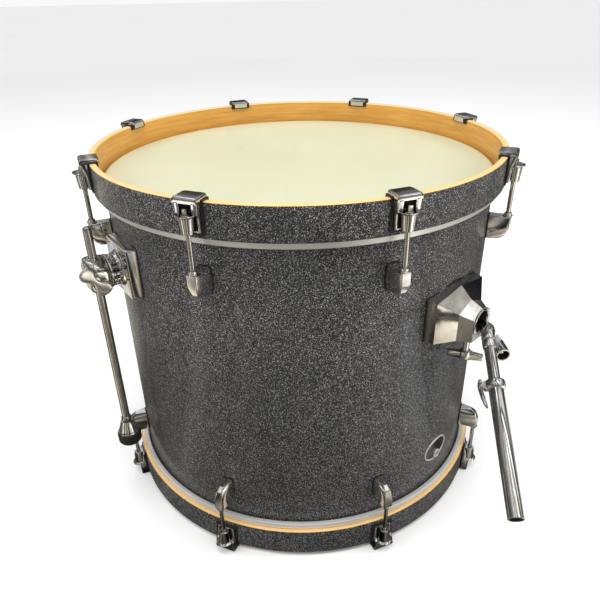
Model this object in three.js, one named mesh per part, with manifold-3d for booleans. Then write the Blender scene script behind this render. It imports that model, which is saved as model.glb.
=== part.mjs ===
// A 22 x 18 inch bass drum, standing on end on the claws of its lower hoop.
// Millimetres, +Z up. The drum's axis is vertical. Each fitting is drawn in a frame whose -Y points
// straight out of the shell and whose X runs round it, and is then turned about the drum's axis.
import * as THREE from "three";
import { mergeVertices } from "three/addons/utils/BufferGeometryUtils.js";
import Module from "manifold-3d";

const wasm = await Module();
wasm.setup();

// Driving dimensions.
const GAP = 0.35; // clearance between neighbouring pieces
const ROUND = 64; // sides of the drum's large rings
const SHELL = { radius: 277, wall: 7.5, depth: 457, bevel: 3 };
const HOOP = { radius: 291.5, thickness: 8.5, width: 42, overlap: 8 }; // overlap: reach past the shell's edge
const HEAD = { film: 0.9, ringRadius: 286.2, ringHeight: 9, collar: 281 };
const CAP = 6; // how far a claw stands beyond the hoop
const LUGS_PER_END = 8;
const FIRST_LUG_ANGLE = 22.5;
const ROD = { radius: 3, reach: 301.5, key: 6, keyTop: 5.5, flange: 12.4, end: 97 };
const CLAW = { width: 30, outer: 303, lip: 278.2, lipDrop: 5, mouth: 14, foot: 34 };
const LUG = { start: 81.5, height: 33, depth: 29.5 };
const VENT = { angle: 46, height: 101.5, radius: 6 };
const SPUR = { angle: 99, pivot: 408, plate: [72, 12, 70], rodReach: 319, rodRadius: 5.6 };
const ROSETTE = { radius: 21, depth: 10 }; // the ratchet between a spur's bracket and its swivel
const BLOCK = { width: 44, depth: 27 };
const SPUR_ROD = { top: 472, bottom: 152, stop: 177 };
const FOOT = { bottom: 131, rubber: 18, bell: 20, radius: 17 };
const BOLT_REACH = 304; // the clamp bolt's distance from the drum's axis
const BASE = { angle: 45, bottom: 327, bore: 14, boreHeight: 352.5, face: 322 };
const STUB = { radius: 6, height: 349, root: 289 }; // the arm's short end, inside the base
const ARM = { knuckle: [-9, -333.5, 348], tubeEnd: [-162.5, -466, 252], tubeRadius: 6.8, tubeLength: 150 };
const KNUCKLE_RADIUS = 8.5;
// A short open socket beside the tube, on a neck. solidShare is how much of its length isn't bored.
const SOCKET = { back: [0, -343, 331], front: [-15, -361.5, 328], radius: 9, bore: 6.8 };
const SOCKET_NECK = { radius: 4.5, solidShare: 0.4 };
// start is the sleeve's distance from the knuckle, and turn sets the way its ear faces.
const SLEEVE = { start: 68, radius: 8.5, collarRadius: 11.5, ear: 14, turn: -122.6 };
// The screw that pinches a spur's block round its rod. It stands out on the block's side.
const SPUR_SCREW = { reach: 328.5, height: 411, lean: 36 };
const SPUR_WING = { hubRadius: 8, hubLength: 12, up: 23.5, down: 23.5 };
const SLEEVE_WING = { hubRadius: 4.5, hubLength: 6, up: 28, down: 9 };

const hoopSpan = SHELL.depth + 2 * (HOOP.width - HOOP.overlap);
const topPlane = CAP + hoopSpan;
const shellStart = CAP + HOOP.width - HOOP.overlap;
const faceRadius = SHELL.radius + GAP; // fittings sit on the shell here
const swivelReach = SHELL.radius + SPUR.plate[1] + ROSETTE.depth + GAP; // inner face of a spur's swivel

// Materials.
function finish(color, roughness, metalness) {
  return new THREE.MeshStandardMaterial({ color, roughness, metalness });
}
const sparkle = finish(0x3f4146, 0.35, 0.3);
const sparkleHoop = finish(0x44464a, 0.4, 0.3);
const film = finish(0xe9e4c8, 0.45, 0);
const chrome = finish(0xc9c6c0, 0.12, 1);
const steel = finish(0xa9a6a0, 0.25, 1);
const rubber = finish(0x1c1c1d, 0.7, 0);

// Geometry helpers.
const toRadians = THREE.MathUtils.degToRad;

function solid(geometry) {
  const bare = geometry.index ? geometry.toNonIndexed() : geometry.clone();
  bare.deleteAttribute("normal");
  bare.deleteAttribute("uv");
  const merged = mergeVertices(bare, 1e-3);
  return new wasm.Manifold(
    new wasm.Mesh({
      numProp: 3,
      vertProperties: new Float32Array(merged.attributes.position.array),
      triVerts: new Uint32Array(merged.index.array),
    }),
  );
}

function geometryOf(body) {
  const made = body.getMesh();
  return new THREE.BufferGeometry()
    .setAttribute("position", new THREE.BufferAttribute(made.vertProperties, 3))
    .setIndex(new THREE.BufferAttribute(made.triVerts, 1));
}

const join = (...bodies) => bodies.reduce((all, one) => all.add(one));
const cut = (body, ...tools) => tools.reduce((rest, tool) => rest.subtract(tool), body);

// A box between two values on each axis.
function box([x0, x1], [y0, y1], [z0, z1]) {
  const shape = new THREE.BoxGeometry(x1 - x0, y1 - y0, z1 - z0);
  return solid(shape.translate((x0 + x1) / 2, (y0 + y1) / 2, (z0 + z1) / 2));
}

// A cone or cylinder along Z about the point x, y.
function upright(lowRadius, highRadius, z0, z1, x = 0, y = 0, sides = 16) {
  const shape = new THREE.CylinderGeometry(highRadius, lowRadius, z1 - z0, sides);
  return solid(shape.rotateX(Math.PI / 2).translate(x, y, (z0 + z1) / 2));
}

// A cylinder along Y, from the outer end y0 to the inner end y1, at height z.
function outward(outerRadius, innerRadius, y0, y1, z, sides = 24) {
  const shape = new THREE.CylinderGeometry(innerRadius, outerRadius, y1 - y0, sides);
  return solid(shape.translate(0, (y0 + y1) / 2, z));
}

// A ring or disc about the drum's axis, from a profile of [radius, height] points.
function turned(profile, sides = ROUND) {
  const points = profile.map(([r, z]) => new THREE.Vector2(r, z));
  return new THREE.LatheGeometry(points, sides).rotateX(Math.PI / 2);
}

// A flat outline of [y, z] points, as thick as width, centred on X.
function plate(outline, width) {
  const shape = new THREE.Shape(outline.map(([y, z]) => new THREE.Vector2(y, z)));
  const slab = new THREE.ExtrudeGeometry(shape, { depth: width, bevelEnabled: false });
  const swap = new THREE.Matrix4().set(0, 0, 1, -width / 2, 1, 0, 0, 0, 0, 1, 0, 0, 0, 0, 0, 1);
  return solid(slab.applyMatrix4(swap));
}

// A closed skin through convex sections that all have the same number of points, in order round them.
function loft(sections) {
  const count = sections[0].length;
  const points = sections.flat();
  const faces = [];
  for (let s = 0; s + 1 < sections.length; s++) {
    for (let i = 0; i < count; i++) {
      const a = s * count + i;
      const b = s * count + ((i + 1) % count);
      faces.push(a, b, b + count, a, b + count, a + count);
    }
  }
  const last = (sections.length - 1) * count;
  for (let i = 1; i + 1 < count; i++) {
    faces.push(0, i + 1, i, last, last + i, last + i + 1);
  }
  const shape = new THREE.BufferGeometry()
    .setAttribute("position", new THREE.Float32BufferAttribute(points.flat(), 3))
    .setIndex(faces);
  const body = solid(shape);
  if (body.volume() > 0) return body;
  return loft(sections.toReversed());
}

// The assembly, and the frames that fittings are drawn in.
const drum = new THREE.Group();

function frameAt(angle, height = 0, parent = drum) {
  const frame = new THREE.Group();
  frame.rotation.z = toRadians(angle);
  frame.position.z = height;
  parent.add(frame);
  return frame;
}

// A frame at one end of the drum: z = 0 is the hoop's end plane, and -Z runs towards the drum's middle.
function endFrame(isTop, index) {
  const angle = FIRST_LUG_ANGLE + (index * 360) / LUGS_PER_END;
  const frame = new THREE.Group();
  frame.rotation.y = isTop ? 0 : Math.PI;
  frameAt(angle, isTop ? topPlane : CAP).add(frame);
  return frame;
}

function place(name, body, material, parent = drum) {
  const geometry = body.isBufferGeometry ? body : geometryOf(body);
  const mesh = new THREE.Mesh(geometry, material);
  mesh.name = name;
  parent.add(mesh);
  return mesh;
}

// Shell: a wooden tube with bearing edges bevelled on both sides, and an air vent.
function makeShell() {
  const { radius, wall, depth, bevel } = SHELL;
  const inner = radius - wall;
  const top = shellStart + depth;
  const profile = [
    [inner, shellStart + bevel],
    [inner + bevel, shellStart],
    [radius - 1, shellStart],
    [radius, shellStart + 1],
    [radius, top - 1],
    [radius - 1, top],
    [inner + bevel, top],
    [inner, top - bevel],
    [inner, shellStart + bevel],
  ];
  const hole = outward(VENT.radius, VENT.radius, -radius - 5, -inner + 5, VENT.height, 16);
  return cut(solid(turned(profile)), hole.rotate([0, 0, VENT.angle]));
}

// Hoop: a plain wooden ring, drawn in its end frame.
function makeHoop() {
  const { radius, thickness, width } = HOOP;
  const inner = radius - thickness;
  const profile = [
    [inner, -width],
    [radius, -width],
    [radius, 0],
    [inner, 0],
    [inner, -width],
  ];
  return turned(profile);
}

// Drumhead: film stretched over the shell's edge, with the metal ring that the hoop presses on.
function makeHead() {
  const { film: thickness, ringRadius, ringHeight, collar } = HEAD;
  const edge = -(HOOP.width - HOOP.overlap) + GAP;
  const seat = -HOOP.width - GAP;
  const profile = [
    [0, edge],
    [SHELL.radius, edge],
    [collar - thickness - 0.8, edge - 3],
    [collar - thickness - 0.8, seat - ringHeight],
    [ringRadius, seat - ringHeight],
    [ringRadius, seat],
    [collar, seat],
    [collar, edge - 2],
    [SHELL.radius + 1, edge + thickness],
    [0, edge + thickness],
  ];
  return turned(profile);
}

// Claw: a hook over the hoop with a windowed channel and a tapered boss that the rod pulls on.
function makeClaw(withHole) {
  const { width, outer, lip, lipDrop, mouth, foot } = CLAW;
  const hoopOut = -HOOP.radius - 0.6;
  const hoopIn = -(HOOP.radius - HOOP.thickness) + 1.1;
  const hook = plate(
    [
      [hoopIn, -lipDrop],
      [-lip, 1 - lipDrop],
      [-lip, CAP - 2.5],
      [-lip - 2.5, CAP],
      [2.5 - outer, CAP],
      [-outer, CAP - 2.5],
      [-outer, -mouth],
      [hoopOut, -mouth],
      [hoopOut, 0.6],
      [hoopIn, 0.6],
    ],
    width,
  );
  const back = box([-12.5, 12.5], [-298, hoopOut], [-foot, 0.5 - mouth]);
  const boss = upright(6.2, 10, -foot, -mouth + 0.2, 0, -ROD.reach, 12);
  const window = box([-7.2, 7.2], [-outer - 5, -295.4], [0.4 - mouth, 0.6]);
  const body = cut(join(hook, back, boss), window);
  const rodHole = upright(3.6, 3.6, -foot - 5, -8, 0, -ROD.reach, 8);
  return withHole ? cut(body, rodHole) : body;
}

// Tension rod: a square key head on a flange, and a long shank that screws into the lug.
function makeRod() {
  const { radius, reach, key, keyTop, flange, end } = ROD;
  const half = key / 2;
  const head = box([-half, half], [-reach - half, -reach + half], [-flange - 0.4, -keyTop]);
  const washer = upright(5.6, 5.6, -flange - 1, -flange, 0, -reach, 8);
  const shank = upright(radius, radius, -end, -flange - 0.5, 0, -reach, 8);
  return join(head, washer, shank);
}

// Lug: a tapered casting bolted flat on the shell, with the swivel ferrule that takes the rod.
function makeLug() {
  const { start, height, depth } = LUG;
  const section = (z, back, shoulder, front, reach) => [
    [-back, -faceRadius, z],
    [back, -faceRadius, z],
    [shoulder, -faceRadius - reach + 5, z],
    [front, -faceRadius - reach, z],
    [-front, -faceRadius - reach, z],
    [-shoulder, -faceRadius - reach + 5, z],
  ];
  const body = loft([
    section(-start, 8, 7.6, 6, depth),
    section(-start - height * 0.5, 10, 7.2, 5.4, depth),
    section(-start - height * 0.85, 9, 5.6, 3.8, depth - 5),
    section(-start - height, 7, 4, 2.5, depth - 11),
  ]);
  const ferrule = upright(4.9, 4.9, -start - 1, -start + 4, 0, -ROD.reach, 8);
  const thread = upright(3.6, 3.6, -ROD.end - 2, -start + 5, 0, -ROD.reach, 8);
  return cut(join(body, ferrule), thread);
}

// Spur bracket: a plate curved to the shell, carrying the fixed half of the ratchet rosette.
function makeSpurBracket() {
  const [width, thickness, height] = SPUR.plate;
  const half = width / 2;
  const front = -SHELL.radius - thickness;
  const slab = box([-half, half], [front, -260], [SPUR.pivot - height / 2, SPUR.pivot + height / 2]);
  const shellSpace = upright(faceRadius, faceRadius, SPUR.pivot - 60, SPUR.pivot + 60, 0, 0, ROUND);
  const teeth = outward(ROSETTE.radius, ROSETTE.radius, front - ROSETTE.depth, front + 2, SPUR.pivot);
  return join(cut(slab, shellSpace), teeth);
}

// Spur swivel: the moving half of the rosette and the block that grips the rod.
function makeSpurSwivel() {
  const inner = -swivelReach;
  const half = BLOCK.width / 2;
  const teeth = outward(ROSETTE.radius + 4, ROSETTE.radius, inner - 9, inner, SPUR.pivot);
  const block = loft([
    octagon(half - 3, inner - 7, SPUR.pivot),
    octagon(half, inner - 17, SPUR.pivot),
    octagon(half - 5, inner - BLOCK.depth, SPUR.pivot),
  ]);
  const hole = SPUR.rodRadius + GAP;
  const bore = upright(hole, hole, SPUR.pivot - 60, SPUR.pivot + 60, 0, -SPUR.rodReach);
  return cut(join(teeth, block), bore);
}

// An eight-sided section across the outward direction.
function octagon(half, y, z) {
  const corner = half * 0.5;
  return [
    [-half, y, z - corner],
    [-corner, y, z - half],
    [corner, y, z - half],
    [half, y, z - corner],
    [half, y, z + corner],
    [corner, y, z + half],
    [-corner, y, z + half],
    [-half, y, z + corner],
  ];
}

function makeSpurLeg() {
  const { top, bottom, stop } = SPUR_ROD;
  const rod = upright(SPUR.rodRadius, SPUR.rodRadius, bottom, top - 2, 0, -SPUR.rodReach);
  const end = upright(SPUR.rodRadius, SPUR.rodRadius - 2, top - 2, top, 0, -SPUR.rodReach);
  const ring = upright(7.2, 7.2, FOOT.bottom + FOOT.rubber + FOOT.bell + 1, stop, 0, -SPUR.rodReach);
  return join(rod, end, ring);
}

// Spur foot: a rubber cup under a flared chrome nut, screwed on the rod.
function makeSpurFoot() {
  const { bottom, rubber: cup, bell, radius } = FOOT;
  const nutStart = bottom + cup;
  const tread = upright(radius - 2.5, radius, bottom, bottom + 4, 0, -SPUR.rodReach, 20);
  const rubberCup = upright(radius, radius, bottom + 4, nutStart, 0, -SPUR.rodReach, 20);
  const waist = nutStart + bell * 0.55;
  const hole = SPUR.rodRadius + GAP;
  const flare = upright(radius - 3, 10, nutStart, waist, 0, -SPUR.rodReach, 20);
  const neck = upright(10, 7.5, waist, nutStart + bell, 0, -SPUR.rodReach, 20);
  const thread = upright(hole, hole, SPUR_ROD.bottom - 1, nutStart + bell + 5, 0, -SPUR.rodReach);
  return cut(join(tread, rubberCup, flare, neck), thread);
}

// Wing bolt: two wings on a hub, with its axis along Y and the hub's inner face at y.
function makeWing(y, z, { hubRadius, hubLength, up, down }) {
  const hub = outward(hubRadius * 0.8, hubRadius, y - hubLength, y, z, 16);
  const wingShape = plate(
    [
      [y - 3, -down * 0.35],
      [y - hubLength * 0.8, -down],
      [y - hubLength - 3, -down * 0.8],
      [y - hubLength, 0],
      [y - hubLength - 3, up * 0.8],
      [y - hubLength * 0.8, up],
      [y - 3, up * 0.35],
    ],
    hubRadius * 0.78,
  );
  return join(hub, wingShape.translate([0, 0, z]));
}

// Holder base: a faceted casting on the shell, with a round mouth that faces straight out.
function makeBase() {
  const { bottom, bore, boreHeight, face } = BASE;
  const section = (y, half, shoulder, ridge) => [
    [-half, -y, bottom],
    [half, -y, bottom],
    [half, -y, shoulder],
    [0, -y, ridge],
    [-half, -y, shoulder],
  ];
  const casting = loft([
    section(262, 53, 386, 394.5),
    section(280, 53, 386, 394),
    section(286.8, 52, 384.5, 391.5),
    section(302.8, 26.4, 366, 377),
    section(318, 18, 359.6, 370.5),
  ]);
  const shellSpace = upright(faceRadius, faceRadius, bottom - 20, 420, 0, 0, ROUND);
  const ring = outward(20.5, 20.5, -face, -314, boreHeight);
  const mouth = outward(bore, bore, -face - 5, -face + 13, boreHeight);
  const stubSpace = STUB.radius + GAP;
  const stubHole = outward(stubSpace, stubSpace, -face, 1 - STUB.root, STUB.height, 16);
  const boltHole = upright(4.4, 4.4, bottom - 5, STUB.height - 3, 0, -BOLT_REACH, 12);
  return cut(join(cut(casting, shellSpace), ring), mouth, stubHole, boltHole);
}

// Clamp bolt: a wing on a stem that comes up into the base from below.
function makeClampBolt() {
  const stem = upright(4, 4, 296, STUB.height - STUB.radius - GAP, 0, 0, 12);
  const hub = upright(7, 8.5, 289, 303, 0, 0, 12);
  const wing = box([-23, 23], [-4, 4], [290, 301]);
  return join(stem, hub, wing.rotate([0, 0, -65])).translate([0, -BOLT_REACH, 0]);
}

// The direction that the arm's tube points in, and a turn from +Z to it.
const knuckle = new THREE.Vector3(...ARM.knuckle);
const tubeEnd = new THREE.Vector3(...ARM.tubeEnd);
const sleeveEnd = knuckle.distanceTo(tubeEnd);
const tubeWay = tubeEnd.clone().sub(knuckle).normalize();

function tubeFrame() {
  const frame = new THREE.Group();
  frame.position.copy(knuckle);
  frame.quaternion.setFromUnitVectors(new THREE.Vector3(0, 0, 1), tubeWay);
  frame.rotateZ(THREE.MathUtils.degToRad(SLEEVE.turn));
  return frame;
}

// A cylinder from one point to another.
function rod(radius, from, to) {
  const start = new THREE.Vector3(...from);
  const way = new THREE.Vector3(...to).sub(start);
  const turn = new THREE.Quaternion().setFromUnitVectors(new THREE.Vector3(0, 0, 1), way.clone().normalize());
  const place = new THREE.Matrix4().compose(start, turn, new THREE.Vector3(1, 1, 1));
  return upright(radius, radius, 0, way.length()).transform(place.toArray());
}

// Arm: a stub in the base, a rounded knuckle, the inner tube, and a short open socket beside it.
function makeArm() {
  const tubeTip = knuckle.clone().addScaledVector(tubeWay, ARM.tubeLength).toArray();
  const cap = solid(new THREE.SphereGeometry(KNUCKLE_RADIUS, 16, 10));
  const stub = outward(STUB.radius, STUB.radius, ARM.knuckle[1], -STUB.root, STUB.height, 16);
  const { back, front, radius, bore } = SOCKET;
  const bottom = back.map((value, i) => value + (front[i] - value) * SOCKET_NECK.solidShare);
  const beyond = front.map((value, i) => 2 * value - back[i]);
  const neck = rod(SOCKET_NECK.radius, ARM.knuckle, back);
  const solidArm = join(rod(ARM.tubeRadius, ARM.knuckle, tubeTip), cap.translate(ARM.knuckle), stub, neck);
  return cut(join(solidArm, rod(radius, back, front)), rod(bore, bottom, beyond));
}

// Sleeve: the outer tube with its clamp collar, drawn along +Z from the knuckle.
function makeSleeve() {
  const { start, radius, collarRadius } = SLEEVE;
  const hole = ARM.tubeRadius + GAP;
  const outer = upright(radius, radius, start, sleeveEnd, 0, 0, 20);
  const collar = upright(collarRadius, collarRadius, start, start + 12, 0, 0, 20);
  const ear = box([-5, 5], [-SLEEVE.ear, -radius], [start + 1, start + 11]);
  const bore = upright(hole, hole, start - 5, sleeveEnd + 5);
  return cut(join(outer, collar, ear), bore);
}

// Build the assembly.
place("shell", makeShell(), sparkle);
for (const isTop of [true, false]) {
  const end = isTop ? "top" : "bottom";
  const frame = new THREE.Group();
  frame.rotation.y = isTop ? 0 : Math.PI;
  frameAt(0, isTop ? topPlane : CAP).add(frame);
  place(end + "_hoop", makeHoop(), sparkleHoop, frame);
  place(end + "_head", makeHead(), film, frame);
  for (let i = 0; i < LUGS_PER_END; i++) {
    const at = endFrame(isTop, i);
    const number = "_" + (i + 1);
    place(end + "_lug" + number, makeLug(), chrome, at);
    if (isTop) {
      place("top_claw" + number, makeClaw(true), chrome, at);
      place("top_rod" + number, makeRod(), steel, at);
    } else {
      place("bottom_claw_and_rod" + number, join(makeClaw(false), makeRod()), chrome, at);
    }
  }
}

for (const side of [-1, 1]) {
  const name = side < 0 ? "left_spur_" : "right_spur_";
  const frame = frameAt(BASE.angle + side * SPUR.angle);
  place(name + "bracket", makeSpurBracket(), chrome, frame);
  place(name + "swivel", makeSpurSwivel(), chrome, frame);
  place(name + "leg", makeSpurLeg(), steel, frame);
  place(name + "foot", makeSpurFoot(), rubber, frame);
  const wing = makeWing(-BLOCK.width / 2 - GAP, 0, SPUR_WING)
    .rotate([0, side * SPUR_SCREW.lean, side * -90])
    .translate([0, -SPUR_SCREW.reach, SPUR_SCREW.height]);
  place(name + "wing_nut", wing, chrome, frame);
}

const baseFrame = frameAt(BASE.angle);
place("holder_base", makeBase(), chrome, baseFrame);
place("holder_clamp_bolt", makeClampBolt(), chrome, baseFrame);
place("holder_arm", makeArm(), chrome, baseFrame);
const sleeveFrame = tubeFrame();
baseFrame.add(sleeveFrame);
place("holder_sleeve", makeSleeve(), chrome, sleeveFrame);
const screw = makeWing(-SLEEVE.ear - GAP, SLEEVE.start + 6, SLEEVE_WING);
place("holder_sleeve_screw", screw, chrome, sleeveFrame);

// The part's origin is the middle of its footprint, on the surface that it stands on.
const extent = new THREE.Box3().setFromObject(drum, true);
const middle = extent.getCenter(new THREE.Vector3());
drum.position.set(-middle.x, -middle.y, -extent.min.z);

export default drum;
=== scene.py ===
# A bass drum standing on end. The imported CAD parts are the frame, and the pieces below are its surfaces.
# Shapes are written in millimetres in the frame of the fitting that they belong to. Its -Y points straight
# out of the shell and its X runs round it. They become metres when a mesh is made.
from math import cos, hypot, pi, radians, sin, sqrt

import bmesh
import bpy
from mathutils import Matrix, Vector


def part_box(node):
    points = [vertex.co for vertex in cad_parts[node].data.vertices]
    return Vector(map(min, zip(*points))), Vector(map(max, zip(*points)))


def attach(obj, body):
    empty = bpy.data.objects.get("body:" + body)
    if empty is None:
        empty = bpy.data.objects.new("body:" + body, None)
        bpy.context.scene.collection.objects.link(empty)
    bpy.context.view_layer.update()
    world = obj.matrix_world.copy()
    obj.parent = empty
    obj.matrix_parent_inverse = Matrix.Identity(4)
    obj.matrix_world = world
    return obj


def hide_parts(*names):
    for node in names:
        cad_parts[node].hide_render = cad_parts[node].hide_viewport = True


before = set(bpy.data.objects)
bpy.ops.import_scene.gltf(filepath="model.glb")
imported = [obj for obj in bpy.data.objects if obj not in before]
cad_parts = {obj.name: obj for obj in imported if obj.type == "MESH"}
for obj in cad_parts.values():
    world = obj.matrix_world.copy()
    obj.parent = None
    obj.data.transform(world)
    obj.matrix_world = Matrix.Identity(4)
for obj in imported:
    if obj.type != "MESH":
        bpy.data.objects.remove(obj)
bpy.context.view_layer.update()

MM = 0.001
SHELL_R, SHELL_INNER_R = 277.0, 269.5
HOOP_R, HOOP_INNER_R = 291.5, 283.0
TOP = 531.0  # the upper hoop's face
BOTTOM = 6.0  # the lower hoop's face
RIM = 42.0  # the hoop's height
SEAT = 81.5  # from the hoop's face to the start of a lug
REACH = 301.5  # a tension rod's distance from the drum's axis
ANGLES = [22.5 + 45 * i for i in range(8)]
SPURS = {"left": -54.0, "right": 144.0}  # their angles round the drum
PIVOT = 408.0  # a spur's height
ROUND = 288  # sides of the drum's own rings
HOLDER = 45.0  # the holder's angle round the drum

low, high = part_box("shell")
AXIS = Vector(((low.x + high.x) / 2, (low.y + high.y) / 2, 0))


class Shape:
    """Closed skins that make up one piece, each with a material slot."""

    def __init__(self):
        self.points, self.faces, self.slots = [], [], []

    def add(self, skin, slot=0):
        """Adds a skin. Its slot is a number, or a function that gives one for the middle of each face."""
        points, faces = skin
        points = [Vector(p) for p in points]
        start = len(self.points)
        for face in faces:
            middle = sum((points[i] for i in face), Vector()) / len(face)
            self.slots.append(slot(middle) if callable(slot) else slot)
            self.faces.append([i + start for i in face])
        self.points += points
        return self

    def make(self, name, materials, bevel=0.0, segments=3, smooth=35, sharp=28):
        """The piece. Edges over sharp degrees get the bevel. Without one, those over smooth are hard."""
        mesh = bpy.data.meshes.new(name)
        mesh.from_pydata([p * MM for p in self.points], [], self.faces)
        mesh.polygons.foreach_set("material_index", self.slots)
        work = bmesh.new()
        work.from_mesh(mesh)
        bmesh.ops.remove_doubles(work, verts=work.verts, dist=2e-6)
        bmesh.ops.dissolve_degenerate(work, edges=work.edges, dist=1e-6)
        bmesh.ops.recalc_face_normals(work, faces=work.faces)
        work.to_mesh(mesh)
        work.free()
        for one in materials:
            mesh.materials.append(one)
        mesh.shade_smooth()
        if not bevel:
            mesh.set_sharp_from_angle(angle=radians(smooth))
        piece = bpy.data.objects.new(name, mesh)
        bpy.context.scene.collection.objects.link(piece)
        if bevel:
            edge = piece.modifiers.new("edges", "BEVEL")
            edge.width = bevel * MM
            edge.segments = segments
            edge.limit_method = "ANGLE"
            edge.angle_limit = radians(sharp)
            edge.harden_normals = True
        return piece


def carve(piece, *cutters):
    """Cuts closed skins out of a piece's mesh, before its edges are bevelled."""
    later = list(piece.modifiers)
    for other in later:
        other.show_viewport = False
    for index, cutter in enumerate(cutters):
        tool = Shape().add(cutter).make(f"{piece.name}_cut{index}", [])
        cut = piece.modifiers.new("cut", "BOOLEAN")
        cut.operation, cut.solver, cut.object = "DIFFERENCE", "EXACT", tool
        bpy.context.view_layer.update()
        whole = piece.evaluated_get(bpy.context.evaluated_depsgraph_get())
        mesh = bpy.data.meshes.new_from_object(whole)
        piece.modifiers.remove(cut)
        piece.data = mesh
        bpy.data.objects.remove(tool)
    for other in later:
        other.show_viewport = True
    if not later:
        piece.data.set_sharp_from_angle(angle=radians(35))


def rounded(outline, radius=1.0, steps=3, closed=True):
    """A flat outline of (a, b) or (a, b, own radius) with its corners turned into curves."""
    count, result = len(outline), []
    for i, corner in enumerate(outline):
        here = Vector(corner[:2])
        size = corner[2] if len(corner) > 2 else radius
        if (not closed and i in (0, count - 1)) or size <= 0:
            result.append(tuple(here))
            continue
        before = Vector(outline[i - 1][:2]) - here
        after = Vector(outline[(i + 1) % count][:2]) - here
        reach = min(size, before.length * 0.48, after.length * 0.48)
        a, b = here + before.normalized() * reach, here + after.normalized() * reach
        for k in range(steps + 1):
            t = k / steps
            result.append(tuple(a * (1 - t) ** 2 + here * 2 * t * (1 - t) + b * t * t))
    return result


def skin_of(rows, closed_rows=False, caps=True):
    """Faces through rows of points. closed_rows joins the last row to the first, and caps fill the ends."""
    count = len(rows[0])
    points = [p for row in rows for p in row]
    faces = []
    for r in range(len(rows) if closed_rows else len(rows) - 1):
        here, there = r * count, ((r + 1) % len(rows)) * count
        for i in range(count):
            j = (i + 1) % count
            faces.append([here + i, here + j, there + j, there + i])
    if caps and not closed_rows:
        faces.append(list(range(count))[::-1])
        faces.append(list(range(len(points) - count, len(points))))
    return points, faces


def turned(profile, sides=48, axis="Z", middle=(0, 0), closed=True):
    """A profile of (radius, height) turned about an axis. The ends of an open profile lie on the axis."""
    rows = []
    for radius, height in profile:
        row = []
        for k in range(sides):
            a = 2 * pi * k / sides
            u, v = middle[0] + radius * cos(a), middle[1] + radius * sin(a)
            row.append((u, v, height) if axis == "Z" else (u, height, v))
        rows.append(row)
    return skin_of(rows, closed, caps=False)


def turning(name, finish, profile, sides=48, middle=(0, 0), closed=True, smooth=35):
    """A piece made of one profile turned about Z."""
    return Shape().add(turned(profile, sides, "Z", middle, closed)).make(name, [finish], smooth=smooth)


def prism(outline, low_x, high_x):
    """A flat outline of (y, z) from one x to another."""
    return skin_of([[(x, y, z) for y, z in outline] for x in (low_x, high_x)])


def column(outline, low_z, high_z):
    """A flat outline of (x, y) from one height to another."""
    return skin_of([[(x, y, z) for x, y in outline] for z in (low_z, high_z)])


def sweep(path, radii, sides=24):
    """A round skin along a path of points, one radius a point."""
    path = [Vector(p) for p in path]
    rows, side = [], None
    for i, here in enumerate(path):
        way = (path[min(i + 1, len(path) - 1)] - path[max(i - 1, 0)]).normalized()
        if side is None:
            side = way.orthogonal().normalized()
        side = (side - way * side.dot(way)).normalized()
        up = way.cross(side)
        rows.append([here + (side * cos(2 * pi * k / sides) + up * sin(2 * pi * k / sides)) * radii[i]
                     for k in range(sides)])
    return skin_of(rows)


def oval(half_a, half_b, power=2.0, sides=32):
    """Points round a superellipse: power 2 is an ellipse, and 4 is nearly a rounded rectangle."""
    out = []
    for k in range(sides):
        c, s = cos(2 * pi * k / sides), sin(2 * pi * k / sides)
        out.append((half_a * (abs(c) ** (2 / power)) * (1 if c >= 0 else -1),
                    half_b * (abs(s) ** (2 / power)) * (1 if s >= 0 else -1)))
    return out


def at(angle, height=0.0, flip=False):
    """The place of a fitting's own frame: its angle round the drum and its height, upside down if flip."""
    place = Matrix.Translation(AXIS + Vector((0, 0, height * MM))) @ Matrix.Rotation(radians(angle), 4, "Z")
    return place @ Matrix.Rotation(pi, 4, "Y") if flip else place


def put(piece, body, place, *nodes, slot=None):
    """Sets a piece in its place on a body, instead of the CAD nodes that it stands for."""
    piece.matrix_world = place
    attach(piece, body)
    if nodes:
        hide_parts(*nodes)


def again(piece, name):
    """A second piece with the same mesh, not yet placed."""
    copy = piece.copy()
    copy.name = name
    for key in list(copy.keys()):
        if key.startswith("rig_"):
            del copy[key]
    copy.parent = None
    bpy.context.scene.collection.objects.link(copy)
    return copy


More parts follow.
